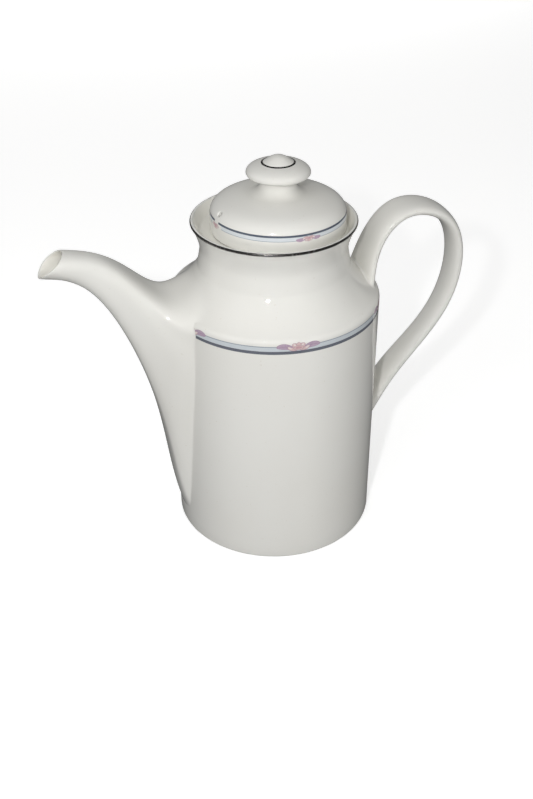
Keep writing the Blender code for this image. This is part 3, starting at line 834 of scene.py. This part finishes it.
def build_handle(body_surface):
    curves = handle_curves(HANDLE_FINE_ROWS)
    half = len(curves) // 2
    upper, upper_start = rooted(
        curves[:half], body_surface, lambda points: np.full(len(points), HANDLE_UPPER_LEG)
    )
    lower, lower_start = rooted(
        curves[half:][::-1], body_surface, lambda points: np.full(len(points), HANDLE_LOWER_LEG)
    )
    strap = carried_on(curves, upper_start, len(curves) - 1 - lower_start, HANDLE_ROWS)
    rings = np.vstack([[flat_end(upper[0])], upper, strap[1:-1], lower[::-1], [flat_end(lower[0])]])
    handle = make_object("handle_china", *capped_tube(rings), [CHINA])
    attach(handle, "pot")
    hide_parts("handle")


# ----- Lid and knob

LID_WALL_TOP = 173.4
LID_DOME = [(32.75, LID_WALL_TOP), (32.1, 179.6), (22.8, 181.4), (14.0, 182.5)]
LID_CROWN = 183.4
LID_WALL = 2.4
FLANGE_RADIUS = 27.2
FLANGE_INSIDE = 25.0
FLANGE_BOTTOM = 153.0
KNOB_SIDES = 128
KNOB_FOOT_RADIUS = 14.6
KNOB_FOOT_PULL = 3.6  # how far the foot runs on along the dome before it turns up
KNOB_FOOT_ROOT = 1.2  # how far the knob goes into the dome
KNOB_THROAT = [(8.5, 188.0), (8.5, 189.6), (8.0, 190.5), (9.2, 190.6)]
KNOB_UNDER = [(9.2, 190.6), (11.7, 190.8), (15.26, 190.4), (15.26, 192.4)]
KNOB_UPPER = [(15.26, 192.4), (15.26, 194.9), (11.0, 196.3), (8.3, 196.9)]
KNOB_GROOVE = [(8.3, 196.9), (7.9, 197.0), (7.5, 197.1), (7.1, 197.3)]
KNOB_BUTTON = [(7.1, 197.3), (5.2, 198.6), (3.0, 200.45), (0.0, 200.45)]
KNOB_LINE = [(8.15, 196.95), (7.9, 197.01), (7.65, 197.07), (7.42, 197.16), (7.18, 197.27)]
KNOB_LINE_LIFT = 0.07
KNOB_LINE_SINK = 0.15
VENT_TURN = math.radians(-168.2)
VENT_HEIGHT = 177.3
VENT_RADIUS = 1.3
VENT_ROUNDING = 0.7
VENT_DEPTH = 9.0
VENT_ABOVE = 2.0  # the drill starts this far above the dome


def lid_outside():
    """From the lid's seat up to its crown."""
    side = rounded([
        (LID_RADIUS - 2.0, LID_SEAT), (LID_RADIUS, LID_SEAT, 0.4), (LID_RADIUS, LID_WALL_TOP),
    ])[1:]
    wall = np.stack([np.full(8, LID_RADIUS), np.linspace(LID_SEAT + 2.0, LID_WALL_TOP, 8)], axis=1)
    dome = bezier(inset(LID_DOME), 48)[1:]
    crown = bezier([tuple(dome[-1]), (9.0, 183.1), (4.0, LID_CROWN), (0.0, LID_CROWN)], 12)[1:]
    return np.vstack([side[:-1], wall, dome, crown])


LID_OUTSIDE = lid_outside()


def build_lid(lid_surface):
    hollow = [p for p in offset(bezier(inset(LID_DOME), 40), -LID_WALL) if p[1] > LID_SEAT + 5.0]
    ceiling = [(0.0, LID_CROWN - LID_WALL)] + [tuple(p) for p in hollow[::-1]]
    flange = rounded([
        ceiling[-1], (FLANGE_INSIDE, LID_SEAT + 1.5, 2.0), (FLANGE_INSIDE, FLANGE_BOTTOM, 0.9),
        (FLANGE_RADIUS, FLANGE_BOTTOM, 0.9), (FLANGE_RADIUS, LID_SEAT, 0.6), (LID_RADIUS - 1.4, LID_SEAT),
    ])
    outline = np.vstack([ceiling[:-1], flange, LID_OUTSIDE])
    shell = turned("lid_china", outline, LID_X, [CHINA])
    # The vent is drilled square to the dome and its mouth is rounded.
    run = np.array([lid_surface.run_at_height(VENT_HEIGHT)])
    mouth, beyond = (lid_surface.place(np.array([VENT_TURN]), run, lift)[0] for lift in (0.0, 1.0))
    wide = VENT_RADIUS + VENT_ROUNDING
    profile = np.vstack([
        [(0.0, -VENT_DEPTH), (VENT_RADIUS, -VENT_DEPTH)],
        arc((wide, -VENT_ROUNDING), VENT_ROUNDING, 180, 90, 8),
        [(wide, VENT_ABOVE), (0.0, VENT_ABOVE)],
    ])
    drill = turned("vent_drill", profile, 0.0, [CHINA], steps=32)
    tilt = math.acos((beyond - mouth)[2])
    move = Matrix.Translation([c * MM for c in mouth])
    drill.data.transform(move @ Matrix.Rotation(VENT_TURN, 4, "Z") @ Matrix.Rotation(tilt, 4, "Y"))
    cut_away(shell, drill)
    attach(shell, "lid")
    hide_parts("lid_shell")


def build_knob():
    heights = LID_OUTSIDE[::-1]
    start, further_in = (
        float(np.interp(radius, heights[:, 0], heights[:, 1]))
        for radius in (KNOB_FOOT_RADIUS, KNOB_FOOT_RADIUS - 1)
    )
    low = start - FILLET_SINK
    run_on = (KNOB_FOOT_RADIUS - KNOB_FOOT_PULL, low + KNOB_FOOT_PULL * (further_in - start))
    foot = bezier([(KNOB_FOOT_RADIUS, low), run_on, (KNOB_THROAT[0][0], 184.9), KNOB_THROAT[0]], 22)
    outline = np.vstack([
        [(0.0, start - KNOB_FOOT_ROOT), (KNOB_FOOT_RADIUS - 0.4, start - KNOB_FOOT_ROOT)],
        foot[:-1], bezier(KNOB_THROAT, 8)[:-1], bezier(KNOB_UNDER, 16)[:-1],
        bezier(KNOB_UPPER, 24)[:-1], bezier(KNOB_GROOVE, 4)[:-1], bezier(KNOB_BUTTON, 20),
    ])
    knob = turned("knob_china", outline, LID_X, [CHINA], steps=KNOB_SIDES)
    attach(knob, "lid")
    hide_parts("lid_knob")
    under = np.array(KNOB_LINE)
    lifted = offset(under, KNOB_LINE_LIFT)
    lifted[[0, -1]] = under[[0, -1]]
    outline = np.vstack([lifted, offset(under, -KNOB_LINE_SINK)[::-1]])
    line = turned("knob_line_platinum", outline, LID_X, [PLATINUM], steps=KNOB_SIDES)
    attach(line, "lid")
    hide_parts("knob_line")


# ----- Printed bands and flowers: thin closed skins that follow the china under them

def skin(surface, turns, runs, lift, thickness):
    """Points and faces of a closed skin. turns and runs are grids (rows x columns); lift is its top."""
    rows, columns = turns.shape
    top = surface.place(turns, runs, lift)
    bottom = surface.place(turns, runs, lift - thickness)
    points = np.vstack([top.reshape(-1, 3), bottom.reshape(-1, 3)])
    low = rows * columns
    faces = []
    for a, b, c, d in grid_faces(rows, columns, wrap_columns=False):
        faces += [(a, b, c, d), (a + low, d + low, c + low, b + low)]
    rim = list(range(columns))
    rim += [r * columns + columns - 1 for r in range(1, rows)]
    rim += [(rows - 1) * columns + k for k in range(columns - 2, -1, -1)]
    rim += [r * columns for r in range(rows - 2, 0, -1)]
    for here, after in zip(rim, rim[1:] + rim[:1]):
        faces.append((here, here + low, after + low, after))
    return points, faces


def print_object(name, parts, body, node):
    """One printed piece. Parts are (points, faces, ink)."""
    points, faces, inks, count = [], [], [], 0
    for part_points, part_faces, ink in parts:
        points.append(part_points)
        faces += [tuple(n + count for n in face) for face in part_faces]
        inks += [INK_ORDER.index(ink)] * len(part_faces)
        count += len(part_points)
    mesh = bpy.data.meshes.new(name)
    mesh.from_pydata([tuple(p) for p in np.vstack(points) * MM], [], faces)
    for material in INKS:
        mesh.materials.append(material)
    mesh.polygons.foreach_set("material_index", inks)
    builder = bmesh.new()
    builder.from_mesh(mesh)
    bmesh.ops.recalc_face_normals(builder, faces=builder.faces[:])
    builder.to_mesh(mesh)
    builder.free()
    mesh.shade_smooth()
    mesh.set_sharp_from_angle(angle=math.radians(PRINT_CREASE_DEG))
    made = linked(name, mesh)
    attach(made, body)
    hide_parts(node)


PRINT_CREASE_DEG = 30.0
PRINT_LIFT = 0.03  # the top of a stripe above the china
BAND_THICKNESS = 0.05
LAYER_LIFT = 0.006  # each layer of a flower lies this much above the one before
LAYER_THICKNESS = 0.02
COLUMN_DEG = 1.5
STROKE_SWELL = 0.52  # the lower this power, the blunter a stroke's ends
STROKE_TIP = 0.015


def stripe(surface, low_run, high_run, start_deg, sweep_deg):
    """A stripe round the surface between two runs along its outline."""
    columns = max(8, int(abs(sweep_deg) / COLUMN_DEG) + 1)
    turns, runs = np.meshgrid(
        np.radians(start_deg + np.linspace(0, sweep_deg, columns)), np.linspace(low_run, high_run, 4)
    )
    return skin(surface, turns, runs, PRINT_LIFT, BAND_THICKNESS)


# The water lily. Each shape is a swelling stroke: its control points, half width, ink and layer, in
# millimetres right of and above the flower's centre. A layer lies over those below it.
LEAF = [
    ([(2.0, -0.75), (5.4, 1.0), (8.2, 0.9), (10.4, 0.3)], 1.45, "vein", 1),
    ([(2.2, -0.7), (5.4, 0.95), (8.2, 0.85), (10.1, 0.32)], 1.29, "leaf", 2),
    ([(3.0, -0.4), (5.6, 0.8), (8.0, 0.75), (9.5, 0.4)], 0.09, "vein", 3),
]
HIGH_PETAL = [
    ([(0.4, -0.9), (1.3, 0.6), (2.3, 1.3), (2.5, 2.15)], 1.36, "vein", 2),
    ([(0.4, -0.8), (1.3, 0.6), (2.3, 1.25), (2.45, 2.02)], 1.22, "petal", 3),
    ([(1.1, 0.4), (1.6, 0.9), (2.2, 1.3), (2.4, 1.85)], 0.46, "tip", 4),
]
MIDDLE_PETAL = [
    ([(0.0, -0.9), (0.0, 0.5), (0.0, 1.5), (0.0, 2.6)], 1.30, "vein", 4),
    ([(0.0, -0.8), (0.0, 0.5), (0.0, 1.4), (0.0, 2.45)], 1.16, "petal", 5),
]
LOW_PETAL = [
    ([(0.4, -1.25), (2.6, -1.2), (4.4, -0.5), (5.4, 0.6)], 0.92, "vein", 5),
    ([(0.6, -1.15), (2.6, -1.1), (4.3, -0.5), (5.2, 0.5)], 0.78, "petal", 6),
    ([(3.1, -0.65), (3.8, -0.45), (4.6, -0.1), (5.12, 0.5)], 0.40, "tip", 7),
]
FRONT_PETAL = [
    ([(-2.5, -0.25), (-1.4, -0.2), (1.4, -0.2), (2.5, -0.25)], 1.22, "vein", 7),
    ([(-2.35, -0.25), (-1.3, -0.2), (1.3, -0.2), (2.35, -0.25)], 1.08, "petal", 8),
    ([(-1.5, -0.2), (-0.9, -0.15), (0.9, -0.15), (1.5, -0.2)], 0.62, "blush", 9),
]


def on_both_sides(shapes):
    return [
        ([(side * x, y) for x, y in controls], width, ink, layer)
        for side in (-1, 1) for controls, width, ink, layer in shapes
    ]


BUD = on_both_sides(HIGH_PETAL) + MIDDLE_PETAL + on_both_sides(LOW_PETAL) + FRONT_PETAL
FLOWER = on_both_sides(LEAF) + BUD


def motif(surface, shapes, centre_deg, centre_run, scale, flip):
    """A flower printed on the surface, as layers of thin skins. It points down if flip is -1."""
    parts = []
    for controls, width, ink, layer in shapes:
        line = bezier(controls, 25) * scale
        along = tangents(line)
        side = np.stack([-along[:, 1], along[:, 0]], axis=1)
        share = np.linspace(0, 1, len(line))
        swell = np.sin(np.pi * share) ** STROKE_SWELL * width * scale
        swell[[0, -1]] = STROKE_TIP
        across = np.linspace(-1, 1, 9)
        points = line[:, None, :] + side[:, None, :] * (swell[:, None] * across)[..., None]
        radius = np.interp(centre_run, surface.run, surface.line[:, 0])
        turns = math.radians(centre_deg) + points[..., 0] / radius
        runs = centre_run + points[..., 1] * flip
        top = PRINT_LIFT + LAYER_LIFT * layer
        parts.append((*skin(surface, turns, runs, top, LAYER_THICKNESS), ink))
    return parts


BODY_STRIPES = [("dark", 124.9, 126.5), ("pale", 126.5, 128.65), ("thin", 128.65, 129.05)]
BODY_MOTIF_HEIGHT = 128.3
BODY_MOTIFS = [-154.6, -93.4, -27.5, 27.5, 93.4, 154.6]
# Ink, the two runs above the band's foot, and the degrees from which and to which it leaves out the vent.
LID_STRIPES = [
    ("thin", 0.0, 0.25, -176.0, -159.8),
    ("ice", 0.25, 1.95, -176.0, -159.8),
    ("deep", 1.95, 2.9, -170.8, -164.2),
]
LID_BAND_FOOT = 171.75
LID_MOTIF_RUN = 0.75
LID_MOTIF_SCALE = 0.60
LID_MOTIFS = [-81.0, 9.0, 99.0]
LID_BUD = -169.0
LID_BUD_DROP = 0.3


def build_body_band(surface):
    parts = []
    for ink, low, high in BODY_STRIPES:
        low_run, high_run = surface.run_at_height(low), surface.run_at_height(high)
        parts.append((*stripe(surface, low_run, high_run, 0.0, 360.0), ink))
    for turn in BODY_MOTIFS:
        parts += motif(surface, FLOWER, turn, surface.run_at_height(BODY_MOTIF_HEIGHT), 1.0, 1.0)
    print_object("body_band_print", parts, "pot", "body_band")


def build_lid_band(surface):
    parts = []
    start = surface.run_at_height(LID_BAND_FOOT)
    for ink, low, high, gap_from, gap_to in LID_STRIPES:
        sweep = 360.0 - (gap_to - gap_from)
        parts.append((*stripe(surface, start + low, start + high, gap_to, sweep), ink))
    centre = start + LID_MOTIF_RUN
    for turn in LID_MOTIFS:
        parts += motif(surface, FLOWER, turn, centre, LID_MOTIF_SCALE, -1.0)
    parts += motif(surface, BUD, LID_BUD, centre - LID_BUD_DROP, LID_MOTIF_SCALE, -1.0)
    print_object("lid_band_print", parts, "lid", "lid_band")


# ----- Stage, light and camera

CAMERA_PLACE = (-118.98, -439.70, 373.37)
CAMERA_TURN = -16.0  # degrees of the line of sight about Z, then its small corrections
CAMERA_PITCH = 33.995
CAMERA_YAW = -0.491
CAMERA_ROLL = -0.257
SENSOR = 36.0
LENS = 46.60175

# The key stands at a turn and a rise from the pot, in front of it. Lights are placed in metres.
KEY_TURN = math.radians(-115.0)
KEY_RISE = math.radians(33.0)
KEY_FAR = 0.60
KEY_SIZE = 0.022
KEY_WATTS = 1.05
# Wide, soft lights: name, place, size, watts.
FILLS = [
    ("low_fill", (-0.15, -0.70, 0.03), 0.5, 2.6),
    ("right_fill", (0.75, -0.35, 0.20), 0.4, 1.0),
    ("left_fill", (-0.70, -0.40, 0.60), 0.5, 1.2),
    ("back_fill", (0.30, 2.20, 0.50), 1.2, 24.0),
    ("top_fill", (-0.3, -0.6, 1.4), 2.4, 10.0),
]
LIGHTS_AIM = (POT_X * MM, 0.0, 0.10)
WORLD_STRENGTH = 0.12
FLOOR_GLOW = 0.46
FLOOR_HALF = 6.0
WHITE = (1.0, 1.0, 1.0, 1.0)


def build_camera():
    pitch, yaw, roll = (math.radians(v) for v in (CAMERA_PITCH, CAMERA_YAW, CAMERA_ROLL))
    forward = np.array([math.sin(yaw) * math.cos(pitch), math.cos(yaw) * math.cos(pitch), -math.sin(pitch)])
    right = np.array([math.cos(yaw), -math.sin(yaw), 0.0])
    up = np.cross(right, forward)
    right, up = right * math.cos(roll) + up * math.sin(roll), up * math.cos(roll) - right * math.sin(roll)
    turn = np.array(Matrix.Rotation(math.radians(CAMERA_TURN), 3, "Z"))
    axes = np.stack([turn @ right, turn @ up, turn @ -forward], axis=1)
    data = bpy.data.cameras.new("camera")
    data.sensor_width = SENSOR
    data.lens = LENS
    data.clip_start = 0.01
    camera = linked("camera", data)
    camera.matrix_world = Matrix([[*axes[r], CAMERA_PLACE[r] * MM] for r in range(3)] + [[0, 0, 0, 1]])
    bpy.context.scene.camera = camera


def aimed_light(name, place, size, watts, mirrored):
    """A round light turned to the pot. Only a mirrored one shows in the glaze."""
    data = bpy.data.lights.new(name, "AREA")
    data.shape = "DISK"
    data.size = size
    data.energy = watts
    made = linked(name, data)
    made.location = place
    away = np.array(place) - np.array(LIGHTS_AIM)
    tilt = math.atan2(math.hypot(away[0], away[1]), away[2])
    made.rotation_euler = (tilt, 0.0, math.atan2(away[1], away[0]) + math.pi / 2)
    made.visible_glossy = mirrored


def build_floor():
    floor = bpy.data.meshes.new("floor")
    corners = [(x * FLOOR_HALF, y * FLOOR_HALF, 0) for x, y in ((-1, -1), (1, -1), (1, 1), (-1, 1))]
    floor.from_pydata(corners, [], [(0, 1, 2, 3)])
    nodes = Nodes("floor_paper")
    fibre = nodes.noise(300.0, 3.0)
    floor.materials.append(nodes.finish(
        Base_Color=nodes.ramp(fibre, [(0.3, (0.90, 0.90, 0.895)), (0.7, (0.93, 0.93, 0.925))]),
        Roughness=0.9,
        Specular_IOR_Level=0.1,
        Emission_Color=WHITE,
        Emission_Strength=FLOOR_GLOW,
    ))
    made = linked("floor", floor)
    # The floor's glow neither lights the pot nor shows in its glaze.
    made.visible_diffuse = False
    made.visible_glossy = False


def build_lights():
    world = bpy.data.worlds.new("studio")
    world.use_nodes = True
    background = world.node_tree.nodes["Background"]
    background.inputs["Color"].default_value = WHITE
    background.inputs["Strength"].default_value = WORLD_STRENGTH
    bpy.context.scene.world = world
    level = math.cos(KEY_RISE)
    way = (math.cos(KEY_TURN) * level, math.sin(KEY_TURN) * level, math.sin(KEY_RISE))
    key = tuple(aim + KEY_FAR * part for aim, part in zip(LIGHTS_AIM, way))
    aimed_light("key", key, KEY_SIZE, KEY_WATTS, True)
    for name, place, size, watts in FILLS:
        aimed_light(name, place, size, watts, False)
    bpy.context.scene.view_settings.view_transform = "Standard"


build_camera()
pot_surface = TurnedSurface(OUTSIDE, POT_X)
lid_surface = TurnedSurface(LID_OUTSIDE, LID_X)
build_body()
build_rim_line()
build_spout(pot_surface)
build_handle(pot_surface)
build_lid(lid_surface)
build_knob()
build_body_band(pot_surface)
build_lid_band(lid_surface)
build_floor()
build_lights()
